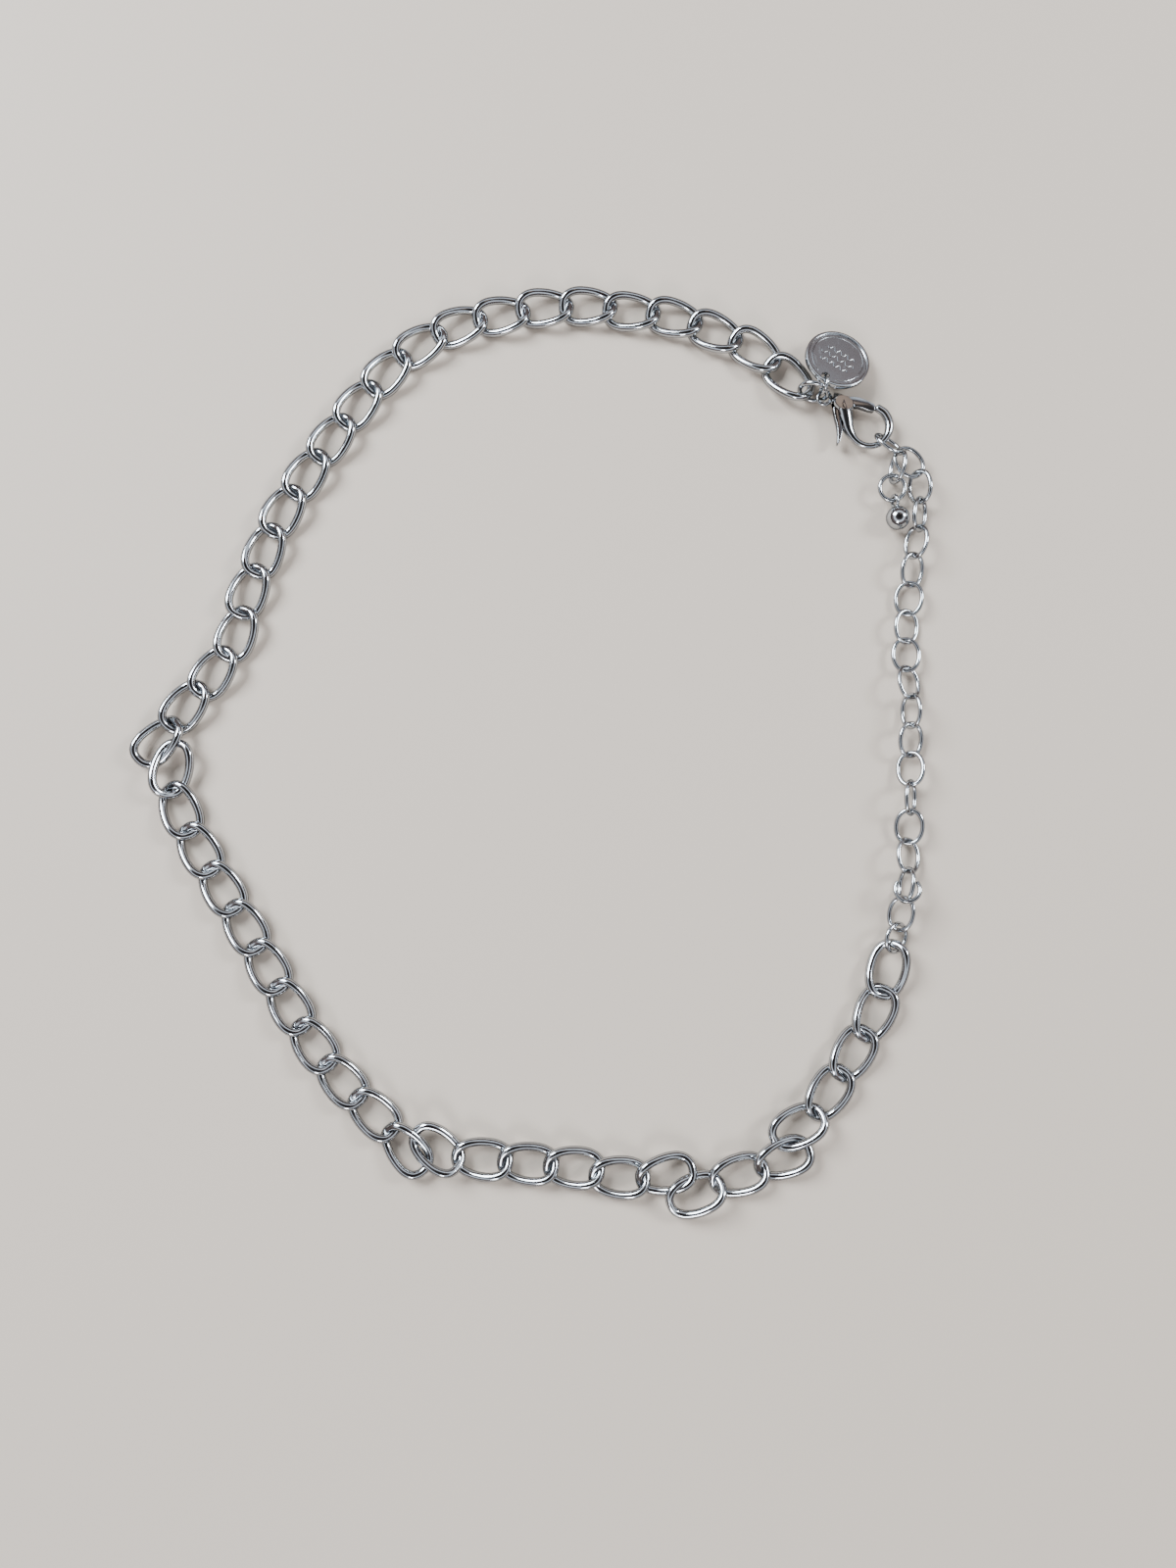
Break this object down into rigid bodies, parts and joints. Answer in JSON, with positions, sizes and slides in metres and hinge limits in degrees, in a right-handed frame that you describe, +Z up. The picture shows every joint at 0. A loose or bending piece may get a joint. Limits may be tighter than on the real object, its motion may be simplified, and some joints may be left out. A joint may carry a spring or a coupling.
{
  "type": "chain anklet",
  "caption": "Silver curb chain anklet lying closed in its loop, with a lobster clasp, a round tag and an extender chain that ends in a small ball.",
  "frame": {"origin": "bottom centre of the bounding box of the anklet as it lies closed on a surface", "axes": "+Z up from the surface, +Y along the loop's longer side towards the clasp's end, +X along its shorter side towards the clasp and the extender chain"},
  "size_m": [0.0911, 0.1061, 0.0043],
  "materials": {
    "silver": "high polish, bright plated silver"
  },
  "bodies": {
    "anklet": {"main_chain": "silver", "chain_end_ring": "silver", "clasp_body": "silver", "tag_ring": "silver", "tag_disc": "silver", "extender_join_ring": "silver", "extender_chain": "silver", "open_ring": "silver", "end_ring": "silver", "end_ball": "silver"},
    "lever": {"clasp_lever": "silver"}
  },
  "joints": [
    {"name": "clasp_lever_hinge", "type": "hinge", "parent": "anklet", "child": "lever", "pos_m": [0.03561, 0.03902, 0.00128], "axis": [0, 0, -1], "range_deg": [0, 18], "stiffness_Nm_per_rad": 0.0001}
  ]
}
